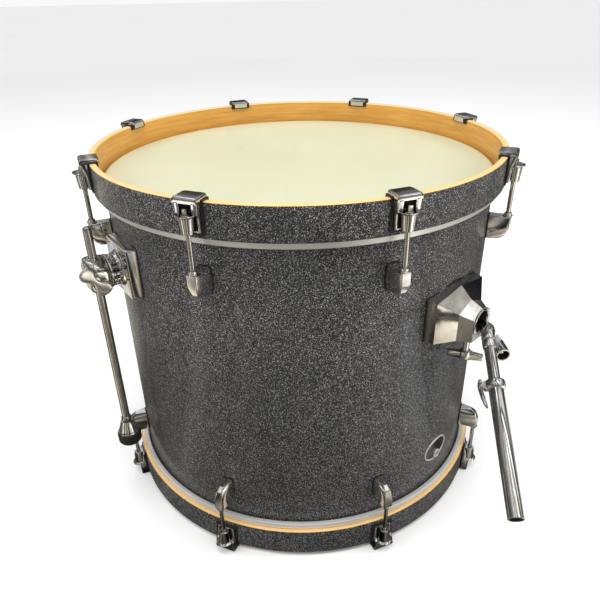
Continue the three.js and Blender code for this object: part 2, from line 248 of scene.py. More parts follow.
# Materials.
class Finish:
    """A material's node tree, built by short calls."""

    def __init__(self, name, shader="ShaderNodeBsdfPrincipled"):
        self.material = bpy.data.materials.new(name)
        self.material.use_nodes = True
        self.tree = self.material.node_tree
        self.tree.nodes.clear()
        self.shader = self.node(shader)
        out = self.node("ShaderNodeOutputMaterial")
        self.tree.links.new(self.shader.outputs[0], out.inputs["Surface"])
        self.place = self.node("ShaderNodeTexCoord").outputs["Object"]

    def node(self, kind, inputs=None, **settings):
        made = self.tree.nodes.new(kind)
        for key, value in settings.items():
            setattr(made, key, value)
        for key, value in (inputs or {}).items():
            self.plug(made.inputs[key], value)
        return made

    def plug(self, socket, value):
        if isinstance(value, bpy.types.NodeSocket):
            self.tree.links.new(value, socket)
        else:
            socket.default_value = value

    def set(self, **values):
        for key, value in values.items():
            self.plug(self.shader.inputs[key.replace("_", " ")], value)

    def stretched(self, x, y, z, place=None):
        """Coordinates scaled differently along each axis."""
        inputs = {"Vector": place or self.place, "Scale": (x, y, z)}
        return self.node("ShaderNodeMapping", inputs).outputs[0]

    def noise(self, scale, detail=3.0, place=None, rough=0.5):
        inputs = {"Vector": place or self.place, "Scale": scale, "Detail": detail, "Roughness": rough}
        return self.node("ShaderNodeTexNoise", inputs).outputs["Fac"]

    def cells(self, scale):
        """A random color for each cell, and its red, green and blue."""
        color = self.node("ShaderNodeTexVoronoi", {"Vector": self.place, "Scale": scale}).outputs["Color"]
        return color, self.node("ShaderNodeSeparateColor", {0: color}).outputs

    def ramp(self, value, *stops):
        made = self.node("ShaderNodeValToRGB", {"Fac": value})
        band = made.color_ramp
        while len(band.elements) < len(stops):
            band.elements.new(0.5)
        for element, (where, color) in zip(band.elements, stops):
            element.position = where
            element.color = (color, color, color, 1) if isinstance(color, (int, float)) else (*color, 1)
        return made.outputs["Color"]

    def mix(self, amount, a, b, how="MIX"):
        made = self.node("ShaderNodeMix", data_type="RGBA", blend_type=how)
        for key, value in ((0, amount), (6, a), (7, b)):
            if isinstance(value, tuple) and len(value) == 3:
                value = (*value, 1)
            self.plug(made.inputs[key], value)
        return made.outputs[2]

    def two_tone(self, value, first, second, start=0.35, end=0.7, most=1.0):
        """The first color, and as value goes from start to end, up to most of the second."""
        return self.mix(self.ramp(value, (start, 0.0), (end, most)), first, second)

    def math(self, how, a, b=0.0):
        return self.node("ShaderNodeMath", {0: a, 1: b}, operation=how).outputs[0]

    def vector(self, how, a, b=(0.0, 0.0, 0.0), output=0):
        return self.node("ShaderNodeVectorMath", {0: a, 1: b}, operation=how).outputs[output]

    def between(self, value, low_value, high_value, low_in=0.0, high_in=1.0):
        """A value that runs from low_in to high_in, rescaled."""
        inputs = {"Value": value, "From Min": low_in, "From Max": high_in, "To Min": low_value,
                  "To Max": high_value}
        return self.node("ShaderNodeMapRange", inputs).outputs[0]

    def bump(self, height, strength, distance, normal=None):
        inputs = {"Height": height, "Strength": strength, "Distance": distance}
        if normal is not None:
            inputs["Normal"] = normal
        return self.node("ShaderNodeBump", inputs).outputs[0]

    def round_the_drum(self):
        """Coordinates for the grain of bent wood: distance round the drum, height, and radius."""
        split = self.node("ShaderNodeSeparateXYZ", {0: self.place}).outputs
        turn = self.math("ARCTAN2", split[1], split[0])
        squares = [self.math("MULTIPLY", split[i], split[i]) for i in (0, 1)]
        radius = self.math("SQRT", self.math("ADD", *squares))
        along = self.math("MULTIPLY", turn, SHELL_R * MM)
        return self.node("ShaderNodeCombineXYZ", {0: along, 1: split[2], 2: radius}).outputs[0]


def sparkle_wrap(name, tone):
    """Charcoal plastic film full of small silver flakes under a gloss coat."""
    f = Finish(name)
    color, big = f.cells(1600.0)
    small = f.cells(2700.0)[1]
    grays = ((0.0, 0.003), (0.5, 0.010), (0.8, 0.04), (1.0, 0.20))
    ground = f.ramp(small[0], *((where, gray * tone) for where, gray in grays))
    flake = f.ramp(big[0], (0.0, 0.0), (0.76, 0.01), (0.88, 0.14), (0.94, 0.60), (0.97, 1.0), (1.0, 1.0))
    tinted = f.mix(big[1], (0.70 * tone, 0.72 * tone, 0.79 * tone), (0.86 * tone, 0.81 * tone, 0.71 * tone))
    whole = f.mix(flake, ground, tinted)
    cloud = f.ramp(f.noise(5.0, 4.0), (0.3, 0.78), (0.7, 1.15))
    whole = f.mix(1.0, whole, cloud, "MULTIPLY")
    tilt = f.vector("MULTIPLY", f.vector("SUBTRACT", color, (0.5, 0.5, 0.5)), (0.5, 0.5, 0.5))
    glint = f.vector("NORMALIZE", f.vector("ADD", f.node("ShaderNodeNewGeometry").outputs["Normal"], tilt))
    metal, rough = f.between(flake, 0.0, 0.35), f.between(small[1], 0.34, 0.5)
    f.set(Base_Color=whole, Metallic=metal, Roughness=rough, Normal=glint)
    f.set(Specular_IOR_Level=0.2, Coat_Weight=0.3, Coat_Roughness=0.10, Coat_IOR=1.42)
    return f.material


def bent_wood(name, light, dark, red):
    """Maple plies bent round the drum, clear-lacquered."""
    f = Finish(name)
    round_place = f.round_the_drum()
    streak = f.noise(1.0, 6.0, f.stretched(14.0, 260.0, 900.0, round_place), 0.62)
    figure = f.noise(1.0, 2.0, f.stretched(22.0, 9.0, 4.0, round_place))
    pores = f.noise(1.0, 2.0, f.stretched(120.0, 2600.0, 2600.0, round_place))
    color = f.two_tone(streak, light, dark, 0.33, 0.68)
    color = f.two_tone(figure, color, red, 0.4, 0.75, 0.55)
    color = f.two_tone(pores, color, dark, 0.60, 0.72, 0.35)
    f.set(Base_Color=color, Roughness=f.between(streak, 0.30, 0.48), Normal=f.bump(streak, 0.25, 0.0004))
    f.set(Coat_Weight=0.35, Coat_Roughness=0.22)
    return f.material


def chrome(name, tone=1.0, low_rough=0.07, high_rough=0.19):
    """Chrome plate with a faint haze, fingermarks and a slightly uneven cast surface under it."""
    f = Finish(name)
    haze = f.noise(38.0, 5.0, rough=0.65)
    spots = f.noise(900.0, 2.0)
    clean = (0.74 * tone, 0.725 * tone, 0.70 * tone)
    hazy = (0.60 * tone, 0.575 * tone, 0.535 * tone)
    color = f.two_tone(spots, f.two_tone(haze, clean, hazy), (0.30, 0.27, 0.23), 0.66, 0.76, 0.5)
    rough = f.between(f.ramp(haze, (0.35, 0.0), (0.75, 1.0)), low_rough, high_rough)
    wave = f.bump(f.noise(42.0, 1.0), 0.08, 0.001)
    f.set(Base_Color=color, Metallic=1.0, Roughness=rough, Normal=f.bump(spots, 0.05, 0.0002, wave))
    return f.material


def dull_black_and_bore_shade():
    """Dull near-black metal, far darker than bare metal: painted shade for the inside of a tube."""
    f = Finish("dull_black_and_bore_shade")
    haze = f.noise(60.0, 4.0)
    color = f.two_tone(haze, (0.030, 0.027, 0.024), (0.055, 0.048, 0.040))
    f.set(Base_Color=color, Metallic=0.3, Roughness=f.between(haze, 0.5, 0.7))
    return f.material


def pale_tab():
    """A small moulded tab in milky plastic."""
    f = Finish("pale_tab")
    haze = f.noise(90.0, 4.0)
    color = f.two_tone(haze, (0.62, 0.64, 0.66), (0.50, 0.52, 0.55))
    f.set(Base_Color=color, Roughness=f.between(haze, 0.3, 0.45), Normal=f.bump(haze, 0.1, 0.0004))
    return f.material


def rod_steel():
    """Plated steel rod with fine drawing lines along it."""
    f = Finish("rod_steel")
    lines = f.noise(1.0, 3.0, f.stretched(2600.0, 2600.0, 22.0))
    haze = f.noise(45.0, 4.0)
    color = f.two_tone(haze, (0.60, 0.575, 0.545), (0.46, 0.425, 0.385))
    rough, normal = f.between(haze, 0.14, 0.27), f.bump(lines, 0.12, 0.0002)
    f.set(Base_Color=color, Metallic=1.0, Roughness=rough, Normal=normal)
    return f.material


def brushed_ring():
    """The aluminium flesh hoop: lines run round it."""
    f = Finish("brushed_ring")
    round_place = f.round_the_drum()
    lines = f.noise(1.0, 4.0, f.stretched(6.0, 1500.0, 1500.0, round_place))
    haze = f.noise(9.0, 4.0)
    color = f.two_tone(haze, (0.84, 0.825, 0.79), (0.72, 0.705, 0.675), 0.3)
    color = f.two_tone(lines, color, (0.45, 0.44, 0.43), 0.45, 0.75, 0.25)
    rough, normal = f.between(lines, 0.30, 0.44), f.bump(lines, 0.15, 0.0003)
    f.set(Base_Color=color, Metallic=0.55, Roughness=rough, Normal=normal)
    return f.material


def drum_film():
    """Cream coated film, a little uneven and worn."""
    f = Finish("drum_film")
    cloud = f.noise(5.0, 5.0, rough=0.6)
    grain = f.noise(700.0, 2.0)
    scuff = f.noise(1.0, 4.0, f.stretched(60.0, 9.0, 60.0))
    color = f.two_tone(cloud, (0.56, 0.555, 0.385), (0.51, 0.51, 0.355), 0.3)
    color = f.two_tone(scuff, color, (0.43, 0.43, 0.30), 0.62, 0.74, 0.35)
    f.set(Base_Color=color, Roughness=f.between(cloud, 0.34, 0.5), Normal=f.bump(grain, 0.12, 0.0002))
    f.set(Coat_Weight=0.15, Coat_Roughness=0.3)
    return f.material


def black_rubber():
    """Moulded rubber with dust in its grain."""
    f = Finish("black_rubber")
    cloud = f.noise(60.0, 4.0)
    grain = f.noise(2200.0, 2.0)
    dust = f.noise(160.0, 5.0, rough=0.7)
    color = f.two_tone(cloud, (0.011, 0.011, 0.011), (0.022, 0.021, 0.021))
    color = f.two_tone(dust, color, (0.07, 0.068, 0.062), 0.62, 0.80, 0.6)
    f.set(Base_Color=color, Roughness=f.between(cloud, 0.55, 0.75), Normal=f.bump(grain, 0.3, 0.0002))
    return f.material


def badge_enamel():
    """Gloss black enamel."""
    f = Finish("badge_enamel")
    cloud = f.noise(80.0, 4.0)
    color = f.two_tone(cloud, (0.010, 0.010, 0.011), (0.022, 0.022, 0.022))
    f.set(Base_Color=color, Roughness=f.between(cloud, 0.16, 0.30))
    f.set(Coat_Weight=0.5, Coat_Roughness=0.08)
    return f.material


def pale_floor():
    """Matt paint, not quite even."""
    f = Finish("pale_floor")
    cloud = f.noise(0.8, 3.0)
    grain = f.noise(240.0, 3.0)
    color = f.two_tone(cloud, (0.90, 0.90, 0.90), (0.88, 0.88, 0.88), 0.3)
    f.set(Base_Color=color, Roughness=f.between(grain, 0.75, 0.9))
    return f.material


WRAP = sparkle_wrap("shell_sparkle", 1.0)
HOOP_WRAP = sparkle_wrap("hoop_sparkle", 1.15)
EDGE = bent_wood("hoop_edge", (0.86, 0.60, 0.27), (0.72, 0.45, 0.17), (0.80, 0.52, 0.22))
INSIDE = bent_wood("hoop_inside", (0.70, 0.37, 0.075), (0.52, 0.24, 0.035), (0.60, 0.27, 0.04))
CHROME = chrome("chrome_plate")
BRIGHT = chrome("chrome_tube", 1.06, 0.04, 0.12)
STEEL = rod_steel()
RING = brushed_ring()
FILM = drum_film()
RUBBER = black_rubber()
ENAMEL = badge_enamel()
SATIN = chrome("satin_chrome", 1.12, 0.22, 0.36)
CAST = chrome("cast_chrome", 0.64)
# Near-black dull metal: painted shade in the bores and tubes, and the badge's dull dark ring.
DULL_BLACK_AND_SHADE = dull_black_and_bore_shade()
TAB = pale_tab()

# Shell, with its vent.
top_edge, bottom_edge = TOP - RIM + 8, BOTTOM + RIM - 8
profile = rounded([
    (SHELL_INNER_R, bottom_edge + 3), (SHELL_INNER_R + 3, bottom_edge, 0.8), (SHELL_R, bottom_edge, 1.0),
    (SHELL_R, top_edge, 1.0), (SHELL_INNER_R + 3, top_edge, 0.8), (SHELL_INNER_R, top_edge - 3),
], 1.0)
shell = Shape().add(turned(profile, ROUND), lambda m: 0 if hypot(m.x, m.y) > SHELL_R - 0.1 else 1)
shell = shell.make("shell_wrapped", [WRAP, INSIDE])
VENT_ANGLE, VENT_Z, VENT_R = 46.0, 101.5, 6.5
vent_turn = Matrix.Rotation(radians(VENT_ANGLE), 4, "Z")
hole = turned([(0, -285), (VENT_R, -285), (VENT_R, -262), (0, -262)], 32, "Y", (0, VENT_Z), closed=False)
hole = ([vent_turn @ Vector(p) for p in hole[0]], hole[1])
carve(shell, hole)
put(shell, "drum", at(0), "shell", slot="shell_wrap")


def on_shell(u, v, lift=0.0):
    """A point u along the shell's surface and v up it, lifted off it."""
    r = SHELL_R + lift
    return (r * sin(u / SHELL_R), -r * cos(u / SHELL_R), v)


def disc_on_shell(rings, half_u=1.0, half_v=1.0, sides=96):
    """An oval ring that follows the shell, from loops of (inset, lift). The last loop joins the first."""
    turns = [2 * pi * k / sides for k in range(sides)]
    rows = [[on_shell((half_u - inset) * cos(a), (half_v - inset) * sin(a), lift) for a in turns]
            for inset, lift in rings]
    return skin_of(rows, True)


# The wrap's overlap, a strip up the back of the shell.
SEAM_ANGLE, SEAM_HALF, WRAP_THICK, SUNK = 176, 9, 0.32, -0.3
edges = (bottom_edge + 1.2, top_edge - 1.2)
rows = []
for k in range(4 * SEAM_HALF + 1):
    u = k / 2 - SEAM_HALF
    lift = WRAP_THICK if abs(u) < SEAM_HALF - 0.1 else 0.02
    corners = ((edges[0], lift), (edges[1], lift), (edges[1], SUNK), (edges[0], SUNK))
    rows.append([on_shell(u, v, rise) for v, rise in corners])
seam = Shape().add(skin_of(rows))
put(seam.make("wrap_seam", [WRAP]), "drum", at(SEAM_ANGLE), slot="shell_wrap")

# Badge, an oval plate with the vent's grommet near its lower edge.
BADGE_U, BADGE_V, BADGE_Z = 26.3, 19.2, 113.0
MIDDLE_U, MIDDLE_V = 11.4, 4.3
badge = Shape()
badge.add(disc_on_shell([(15.0, SUNK), (15.0, 0.7), (2.3, 0.7), (2.0, SUNK)], BADGE_U, BADGE_V), 0)
turns = [2 * pi * k / 96 for k in range(96)]
plug = [[on_shell(MIDDLE_U * cos(a), MIDDLE_V * sin(a), lift) for a in turns] for lift in (SUNK, 0.69)]
badge.add(skin_of(plug), 0)
rim = [(2.4, SUNK), (2.4, 0.9), (1.8, 1.7), (0.6, 1.7), (0.0, 0.9), (0.0, SUNK)]
badge.add(disc_on_shell(rim, BADGE_U, BADGE_V), 1)
badge.add(disc_on_shell([(4.6, 0.4), (4.6, 0.88), (4.1, 0.88), (4.1, 0.4)], BADGE_U, BADGE_V), 2)
put(badge.make("vent_badge", [ENAMEL, RING, DULL_BLACK_AND_SHADE]), "drum", at(VENT_ANGLE - 0.5, BADGE_Z), slot="chrome")
lip = rounded([
    (4.3, -268), (5.7, -268), (5.7, -276.6), (6.9, -277.3, 0.6), (7.3, -279.2, 1.0),
    (6.4, -280.4, 1.0), (4.8, -280.0, 0.8),
], 0.4)
grommet = Shape().add(turned(lip, 48, "Y"))
put(grommet.make("vent_grommet", [RING], smooth=50), "drum", at(VENT_ANGLE, VENT_Z), slot="chrome")

# Hoops and heads, drawn below the plane of the hoop's face and used at both ends.
ends = {"top": at(0, TOP), "bottom": at(0, BOTTOM, True)}
hoop_profile = rounded([
    (HOOP_INNER_R, -RIM, 1.4), (HOOP_R, -RIM, 0.7), (HOOP_R, 0, 1.6), (HOOP_INNER_R, 0, 2.4),
], 1.5, 5)


def hoop_slot(m):
    """The wrap outside, the bare edge at both faces, and the inside."""
    r = hypot(m.x, m.y)
    if r > HOOP_R - 0.15 or (r > HOOP_R - 0.8 and m.z < -RIM + 2):
        return 0
    return 1 if m.z > -1.9 or m.z < -RIM + 1 else 2


hoop = Shape().add(turned(hoop_profile, ROUND), hoop_slot).make("hoop_top", [HOOP_WRAP, EDGE, INSIDE])
FACE = -(RIM - 8) + 1.25  # the film's outer face
film_profile = rounded([
    (0, FACE, 0), (274, FACE, 5), (278.8, FACE - 3, 5), (279.3, -RIM - 4, 0),
    (278.6, -RIM - 4, 0), (278.0, FACE - 3.4, 5), (273.7, FACE - 0.6, 5), (0, FACE - 0.6, 0),
], 2.0, 6, closed=False)
film = turning("head_film_top", FILM, film_profile, ROUND, closed=False, smooth=60)
ring_profile = rounded([
    (279.4, -RIM - 9.2, 1.0), (286.1, -RIM - 9.2, 1.6), (286.1, -RIM - 0.5, 1.8), (279.4, -RIM - 0.5, 1.2),
], 1.2, 4)
flesh_ring = turning("flesh_ring_top", RING, ring_profile, ROUND)
for end, place in ends.items():
    first = end == "top"
    put(hoop if first else again(hoop, "hoop_bottom"), "drum", place, end + "_hoop", slot="hoop_wood")
    put(film if first else again(film, "head_film_bottom"), "drum", place, end + "_head", slot="drumhead")
    put(flesh_ring if first else again(flesh_ring, "flesh_ring_bottom"), "drum", place, slot="drumhead")

# Lug: a tapered casting with a swivel nut at its end and a gasket behind it.
LUG_H, LUG_D = 33.0, 29.5


def lug_section(z, back, shoulder, front, reach):
    """A slice of the lug: half its width at the shell, at the shoulder and at the front, and its depth."""
    base = SHELL_R + 0.9
    face, bend = -base - reach, -base - reach + 5
    return [(-back, -base, z), (back, -base, z), (shoulder, bend, z), (front, face, z), (-front, face, z),
            (-shoulder, bend, z)]


lug_shape = Shape().add(skin_of([
    lug_section(-SEAT, 8, 7.6, 6.2, LUG_D - 0.6),
    lug_section(-SEAT - LUG_H * 0.45, 9.6, 7.6, 6.0, LUG_D - 0.6),
    lug_section(-SEAT - LUG_H * 0.82, 9.0, 6.0, 4.2, LUG_D - 5),
    lug_section(-SEAT - LUG_H, 7.2, 4.4, 2.8, LUG_D - 12),
]))
lug = lug_shape.make("lug_top_1", [CHROME], bevel=1.3, segments=4)
pad_side = [(8.4, -SEAT + 0.4), (10.0, -SEAT - 15), (9.3, -SEAT - 27), (7.5, -SEAT - LUG_H - 0.4)]
pad_outline = rounded([(-8.4, -SEAT + 0.4)] + pad_side + [(-x, z) for x, z in pad_side[:0:-1]], 1.5)
pad = Shape().add(skin_of([[on_shell(u, v, lift) for u, v in pad_outline] for lift in (-0.2, 1.1)]))
pad = pad.make("lug_pad_top_1", [RUBBER], smooth=40)
nut_profile = rounded([
    (3.1, -SEAT - 2), (5.0, -SEAT - 2), (5.0, -SEAT + 0.2, 0.2), (6.4, -SEAT + 0.3, 0.4),
    (6.4, -SEAT + 1.3, 0.5), (4.9, -SEAT + 1.6, 0.4), (4.8, -SEAT + 4.8, 0.8), (3.1, -SEAT + 4.8, 0.4),
], 0.3)
nut = turning("swivel_nut_top_1", BRIGHT, nut_profile, 32, (0, -REACH), smooth=50)

# Tension rod: a square key head and a flange above a long shank, with a thread where it meets the lug.
rod_profile = [(0, -97), (2.4, -97), (2.9, -96)]
for z in range(-94, -79):
    rod_profile += [(2.98, z), (2.72, z + 0.5)]
rod_profile += [(3.0, -78.6), (3.0, -14), (3.0, -13.4)]
flange = rounded([(3.0, -13.4), (5.5, -13.4, 0.3), (5.6, -12.5, 0.4), (4.6, -12.1, 0.3), (3.4, -12.0)],
                 0.3, closed=False)
rod_shape = Shape().add(turned(rod_profile + flange + [(0, -12.0)], 28, "Z", (0, -REACH), closed=False))
key = [(x, y - REACH) for x, y in rounded([(-3, -3), (3, -3), (3, 3), (-3, 3)], 0.5, 2)]
key_small = [(x * 0.86, (y + REACH) * 0.86 - REACH) for x, y in key]
key_rows = ((key, -12.4), (key, -6.2), (key_small, -5.55))
rod_shape.add(skin_of([[(x, y, h) for x, y in loop] for loop, h in key_rows]))
rod = rod_shape.make("rod_top_1", [STEEL], smooth=30)
washer_profile = rounded([(3.15, -14.3), (6.1, -14.3), (6.1, -13.45), (3.15, -13.45)], 0.25)
washer = turning("rod_washer_top_1", BRIGHT, washer_profile, 32, (0, -REACH), smooth=50)

# Claw: a cap over the hoop, two rails with a window between them, and a flared boss that the rod pulls on.
OUT = -293.6  # the liner's outer face
CLAW_FACE = -302.95  # the claw's outer face


def round_end(x, edge=15.0, size=4.2):
    """How far the cap's inner edge pulls back near its ends."""
    over = max(0.0, abs(x) - (edge - size))
    return size - sqrt(max(0.0, size * size - over * over))


cap_rows = []
for x in [-15, -14.6, -13.6, -12.2, -10.8, -6, 0, 6, 10.8, 12.2, 13.6, 14.6, 15]:
    inner = -278.3 - round_end(x)
    end = round_end(x, 15.0, 2.4) * 0.55
    cap_rows.append([(x, y, h) for y, h in (
        (inner - 0.4, 2.3), (inner, 3.0), (inner - 0.2, 4.4 - end), (inner - 1.6, 5.7 - end),
        (inner - 3.2, 5.95 - end), (-299.5, 5.95 - end), (-302.0, 5.2 - end),
        (CLAW_FACE, 3.2 - end * 0.5), (CLAW_FACE, -0.5), (OUT, -0.5), (OUT, 2.3))])
claw_shape = Shape().add(skin_of(cap_rows))
lip_rows = []
for x in [-11.5, -10.8, -6, 0, 6, 10.8, 11.5]:
    drop = -4.6 + (0.8 if abs(x) > 11 else 0)
    lip_rows.append([(x, y, h) for y, h in (
        (-278.4, 2.8), (-278.4, drop + 0.6), (-278.9, drop), (-280.0, drop), (-280.2, 2.8))])
claw_shape.add(skin_of(lip_rows))
for side in (-1, 1):
    rail = []
    for h, x0, x1, y0 in ((0.6, 7.2, 15.0, CLAW_FACE), (-3, 7.2, 15.0, CLAW_FACE),
                          (-12.2, 7.6, 14.4, -302.3), (-13.4, 8.6, 14.2, -300.6),
                          (-15.5, 10.6, 14.0, -298.6), (-33.0, 9.6, 12.7, -297.0),
                          (-34, 9.9, 12.3, -296.4)):
        corners = [(x0, y0, 0.9), (x1, y0, 2.2), (x1, OUT, 0.3), (x0, OUT, 0.3)]
        rail.append([(side * x, y, h) for x, y in rounded(corners, 0.5)])
    claw_shape.add(skin_of(rail))
claw_shape.add(prism(rounded([(OUT, -32.2), (OUT, -34.2), (-296.2, -34.2), (-296.2, -32.2)], 0.4, 2),
                     -11.5, 11.5))
claw_shape.add(prism(rounded([(OUT, 1.8), (OUT, -1.0), (-301.8, -1.0), (-302.7, 1.8)], 0.6, 3), -9, 9))


def pulled(radius, height, sides=48):
    """A circle round the rod, cut flat where it meets the liner."""
    turns = [2 * pi * k / sides for k in range(sides)]
    return [(radius * sin(a), min(-REACH - radius * cos(a), OUT - 0.1), height) for a in turns]


boss_rows = [pulled(r, h) for r, h in (
    (3.7, -12.9), (8.6, -12.9), (10.4, -12.0), (11.5, -11.6), (12.0, -12.1), (11.6, -13.0),
    (10.0, -13.9), (8.9, -15.0), (8.5, -17.5), (7.7, -26), (6.9, -33.2), (6.2, -34.0), (3.9, -34.0),
    (3.7, -33.4))]
claw_shape.add(skin_of(boss_rows, True))
claw_shape.add(prism(rounded([(OUT, -14.5), (OUT, -33.0), (-299.0, -33.0), (-301.0, -14.5)], 0.4, 2),
                     -4.2, 4.2))
claw = claw_shape.make("claw_top_1", [CHROME], smooth=32)
liner_shape = Shape()
liner_outline = rounded([
    (-282.3, -6.0), (-282.3, 0.35, 0.2), (-292.0, 0.35, 0.2), (-292.0, -37.0), (OUT, -37.0, 0.8),
    (OUT, 1.2), (-293.0, 2.6), (-280.3, 2.6, 0.8), (-280.3, -6.0, 0.8),
], 0.2, 2)
liner_shape.add(prism(liner_outline, -16.4, 16.4))
liner_shape.add(prism(rounded([(-295.0, 1.0), (-295.0, -8.5), (-296.4, -8.5), (-296.4, 1.0)], 0.3, 2),
                      -7.2, 7.2))
liner = liner_shape.make("claw_liner_top_1", [RUBBER], smooth=40)

station = {"lug": lug, "lug_pad": pad, "swivel_nut": nut, "rod": rod, "rod_washer": washer, "claw": claw,
           "claw_liner": liner}
for end in ("top", "bottom"):
    for i, angle in enumerate(ANGLES, 1):
        place = at(angle, TOP if end == "top" else BOTTOM, end == "bottom")
        first = end == "top" and i == 1
        tag = f"{end}_{i}"
        kit = {part: source if first else again(source, f"{part}_{tag}")
               for part, source in station.items()}
        put(kit["lug"], "drum", place, f"{end}_lug_{i}", slot="chrome")
        put(kit["lug_pad"], "drum", place, slot="rubber")
        put(kit["swivel_nut"], "drum", place, slot="chrome")
        put(kit["rod_washer"], "drum", place, slot="steel")
        put(kit["claw_liner"], "drum", place, slot="rubber")
        if end == "top":
            put(kit["rod"], f"top_rod_{i}", place, f"top_rod_{i}", slot="steel")
            put(kit["claw"], "drum", place, f"top_claw_{i}", slot="chrome")
        else:
            put(kit["rod"], "drum", place, slot="steel")
            put(kit["claw"], "drum", place, f"bottom_claw_and_rod_{i}", slot="chrome")

# Spurs: a bracket with the fixed half of a ratchet, the moving half with its clamp, and a rod with a foot.
ROSETTE = 21.0  # radius of the ratchet's teeth
ROD_REACH = 319.0  # the rod's distance from the drum's axis
SCREW_REACH, SCREW_RISE = 328.5, 3.0  # the wing bolt's distance, and its height over the pivot
SCREW_LEAN = 36  # the wing's lean from upright


def plate_loop(half_x, half_z, depth, corner, wrapped=False):
    """The bracket's outline at a depth from the shell, flat or curved with it."""
    loop = []
    for x, z in rounded([(-half_x, -half_z), (half_x, -half_z), (half_x, half_z), (-half_x, half_z)],
                        corner, 5):
        y = -sqrt((SHELL_R + depth) ** 2 - x * x) if wrapped else -SHELL_R - depth
        loop.append((x, y, z))
    return loop


def toothed(y0, y1, radius, count=14, depth=4.6):
    """A disc across Y with square teeth round its edge."""
    rows = []
    for y, inset in ((y0, 0.5), (y0 - 0.5, 0), (y1 + 0.5, 0), (y1, 0.5)):
        row = []
        for k in range(count * 8):
            deep = (0, 0, 0, 0.15, 1, 1, 1, 0.85)[k % 8]
            r = radius - inset - depth * deep
            a = 2 * pi * k / (count * 8)
            row.append((r * cos(a), y, r * sin(a)))
        rows.append(row)
    return skin_of(rows)


bracket_shape = Shape()
bracket_shape.add(skin_of([
    plate_loop(36, 35, 0.6, 4, True), plate_loop(36, 35, 3.0, 4, True), plate_loop(35.6, 34.6, 10.6, 4),
    plate_loop(35.1, 34.1, 11.6, 3.6), plate_loop(34.2, 33.2, 12.0, 3)]))
boss_profile = rounded([
    (0, -284), (24.5, -284, 0), (24.5, -289.4, 1.2), (21.6, -291.6, 1.0), (21.0, -295.4, 0.5), (0, -295.4),
], 0.8, closed=False)
bracket_shape.add(turned(boss_profile, 72, "Y", closed=False))
bracket_shape.add(toothed(-294.6, -299.2, ROSETTE))
bracket_shape.add(turned([(0, -294), (16.7, -294), (16.7, -299.4), (0, -299.4)], 48, "Y", closed=False), 1)
bracket = bracket_shape.make("spur_bracket_left", [CHROME, RUBBER], smooth=38)
bracket_pad = Shape().add(skin_of([plate_loop(37.2, 36.2, lift, 8.5, True) for lift in (-0.2, 0.9)]))
bracket_pad = bracket_pad.make("spur_pad_left", [RUBBER])

swivel_shape = Shape()
swivel_shape.add(toothed(-299.7, -303.4, ROSETTE + 0.2))
disc_profile = rounded([
    (0, -302.6), (21.6, -302.6, 0.6), (22.3, -303.4, 0.6), (22.3, -305.6, 0.8),
    (21.2, -306.2, 0.4), (18.5, -306.3), (18.5, -308), (0, -308),
], 0.4, closed=False)
swivel_shape.add(turned(disc_profile, 72, "Y", closed=False))
swivel_shape.add(turned([(0, -299.5), (16.9, -299.5), (16.9, -303.5), (0, -303.5)], 48, "Y",
                        closed=False), 1)
swivel = swivel_shape.make("spur_swivel_left", [CHROME, RUBBER], smooth=40)
clamp_rows = [[(a, y, b) for a, b in oval(half, half, power, 72)] for y, half, power in (
    (-307.3, 21.4, 2.3), (-308.3, 22.0, 2.3), (-314.0, 22.0, 2.8), (-322.5, 22.0, 3.4),
    (-327.5, 21.4, 3.4), (-330.4, 19.6, 3.2), (-331.4, 17.4, 3.0))]
clamp = Shape().add(skin_of(clamp_rows)).make("spur_clamp_left", [CHROME], smooth=40)
carve(clamp,
      turned([(0, -60), (5.8, -60), (5.8, 60), (0, 60)], 40, "Z", (0, -ROD_REACH), closed=False),
      prism([(-340, -40), (-340, 40), (-319, 40), (-319, -40)], -0.8, 0.8))
collar_shape = Shape()
for height, way in ((21.9, 1), (-21.9, -1)):
    ring = [(5.75, height - way * 2), (8.4, height - way * 2), (7.9, height + way * 1.1, 0.8),
            (5.75, height + way * 1.1, 0.4)]
    collar_shape.add(turned(rounded(ring, 0.4), 40, "Z", (0, -ROD_REACH)))
rod_collars = collar_shape.make("spur_rod_collars_left", [BRIGHT], smooth=50)


def on_rod(name, finish, profile, sides, closed, smooth):
    """A piece turned about the spur's rod. Heights are from the floor, where the spur stands at rest."""
    return turning(name, finish, [(r, z - PIVOT) for r, z in profile], sides, (0, -ROD_REACH), closed,
                   smooth)


leg_profile = rounded([
    (0, 152), (4.6, 152, 0.5), (5.5, 153.5, 0.5), (5.5, 169.9, 0.2), (6.2, 170.2, 0.4), (7.1, 171.2, 0.8),
    (7.1, 175.6, 0.8), (6.0, 176.8, 0.4), (5.5, 177.2, 0.3), (5.5, 468.2, 1.4), (4.4, 471.2, 1.4),
    (0, 471.9),
], 0.5, 4, closed=False)
bell_profile = rounded([
    (5.9, 150.0), (15.0, 149.2, 0.6), (15.2, 150.6, 0.8), (13.6, 152.8, 2), (11.6, 159.5, 5),
    (9.4, 166.4, 2), (8.8, 168.8, 1.0), (5.9, 169.0),
], 0.5, 5)
cup_profile = rounded([
    (0, 132.2), (9.0, 132.2, 0.8), (10.0, 131.1, 0.8), (14.2, 131.1, 1.6), (16.6, 134.2, 1.4),
    (16.9, 146.6, 1.4), (15.9, 149.3, 1.0), (5.9, 149.6), (0, 149.6),
], 0.5, 4, closed=False)
leg = on_rod("spur_leg_left", STEEL, leg_profile, 40, False, 40)
bell = on_rod("spur_bell_left", BRIGHT, bell_profile, 56, True, 45)
cup = on_rod("spur_cup_left", RUBBER, cup_profile, 56, False, 45)


